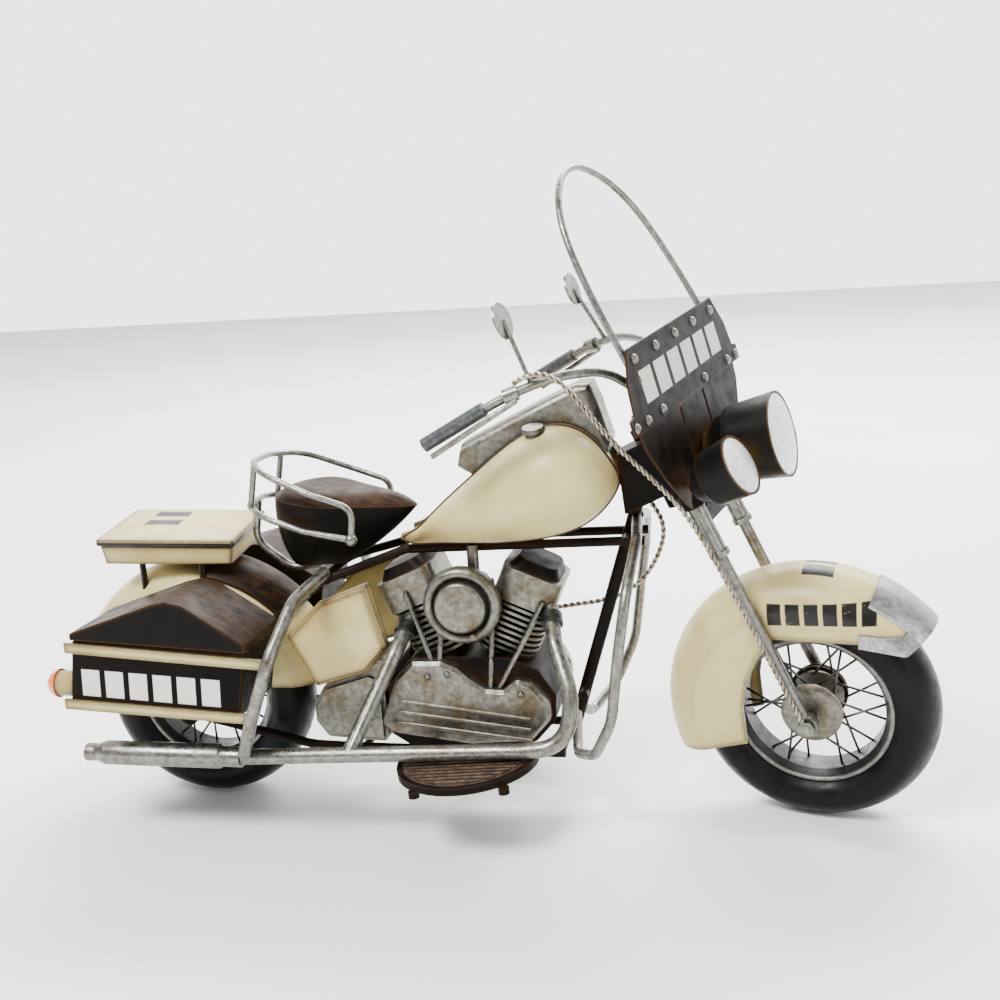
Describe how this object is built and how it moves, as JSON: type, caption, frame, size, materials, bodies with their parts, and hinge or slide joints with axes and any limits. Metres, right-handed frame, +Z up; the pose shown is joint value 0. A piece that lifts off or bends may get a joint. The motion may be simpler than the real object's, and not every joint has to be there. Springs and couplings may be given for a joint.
{
  "type": "tin toy motorcycle",
  "caption": "Antiqued tin model of a big touring motorcycle with rolling wire wheels, a steering fork, side stand, saddlebags and windshield.",
  "frame": {"origin": "ground level under the middle of the bounding box, with the fork where it rests", "axes": "+X forward, +Y to the rider's left, +Z up"},
  "size_m": [0.3712, 0.1364, 0.2629],
  "materials": {
    "tyre": "satin black",
    "rim_silver": "silver lip over a dark well",
    "pewter": "antiqued pewter with golden-brown recesses",
    "black_paint": "semi-gloss black",
    "dark_wire": "dark steel",
    "worn_silver": "silver with brown rubs",
    "brushed_tip": "brushed",
    "cream_paint": "aged ivory with brown edges",
    "brown_paint": "brown-black with rubbed edges",
    "lens": "frosted silver-white",
    "grip_black": "slate black",
    "twisted_wire": "twisted two-strand wire",
    "orange_gloss": "glossy coral orange"
  },
  "bodies": {
    "frame": {"air_cleaner": "pewter", "crankcase": "pewter", "crash_bar": "worn_silver", "cylinders": "pewter", "engine_cable": "twisted_wire", "exhaust_pipes": "worn_silver", "fender_panel": "brown_paint", "footboard_treads": "brown_paint", "footboards": "worn_silver", "frame_backbone": "black_paint", "frame_downtube": "black_paint", "frame_neck": "black_paint", "frame_rear_tubes": "black_paint", "fuel_tank": "cream_paint", "gear_cover": "pewter", "gearbox": "pewter", "muffler": "worn_silver", "primary_cover": "pewter", "pushrod_tubes": "worn_silver", "rear_axle": "worn_silver", "rear_fender": "cream_paint", "rear_guards": "worn_silver", "rocker_boxes": "black_paint", "saddle": "brown_paint", "saddlebag_lids": "brown_paint", "saddlebag_strips": "cream_paint", "saddlebags": "black_paint", "seat_rail": "worn_silver", "side_covers": "cream_paint", "tail_lamps": "orange_gloss", "tank_console": "pewter", "trunk_box": "cream_paint", "trunk_lid": "cream_paint"},
    "front_end": {"front_axle": "worn_silver", "fork_legs": "worn_silver", "fork_sleeves": "worn_silver", "fork_crowns": "black_paint", "steering_stem": "worn_silver", "front_fender": "cream_paint", "fender_tip": "brushed_tip", "lamp_shells": "brown_paint", "lamp_lenses": "lens", "windshield_plates": "brown_paint", "windshield_rivets": "worn_silver", "windshield_frame": "worn_silver", "handlebar": "worn_silver", "hand_grips": "grip_black", "hand_levers": "worn_silver", "mirrors": "worn_silver", "brake_cable": "twisted_wire"},
    "front_wheel": {"front_tyre": "tyre", "front_rim": "rim_silver", "front_hub": "pewter", "front_brake_drum": "black_paint", "front_spokes": "dark_wire"},
    "rear_wheel": {"rear_tyre": "tyre", "rear_rim": "rim_silver", "rear_hub": "pewter", "rear_spokes": "dark_wire"},
    "stand": {"kickstand": "worn_silver"}
  },
  "joints": [
    {"name": "steering", "type": "hinge", "parent": "frame", "child": "front_end", "pos_m": [0.07996, -0.00203, 0.14764], "axis": [-0.421, 0, 0.907], "range_deg": [-12, 38]},
    {"name": "front_wheel_spin", "type": "hinge", "parent": "front_end", "child": "front_wheel", "pos_m": [0.13819, -0.00453, 0.04788], "axis": [0.204, 0.9744, 0.0947], "continuous": true},
    {"name": "rear_wheel_spin", "type": "hinge", "parent": "frame", "child": "rear_wheel", "pos_m": [-0.12515, -0.00203, 0.048], "axis": [0, 1, 0], "continuous": true},
    {"name": "stand_swing", "type": "hinge", "parent": "frame", "child": "stand", "pos_m": [-0.00935, 0.01997, 0.0284], "axis": [0.0562, 0.6078, 0.7921], "range_deg": [0, 70]}
  ]
}
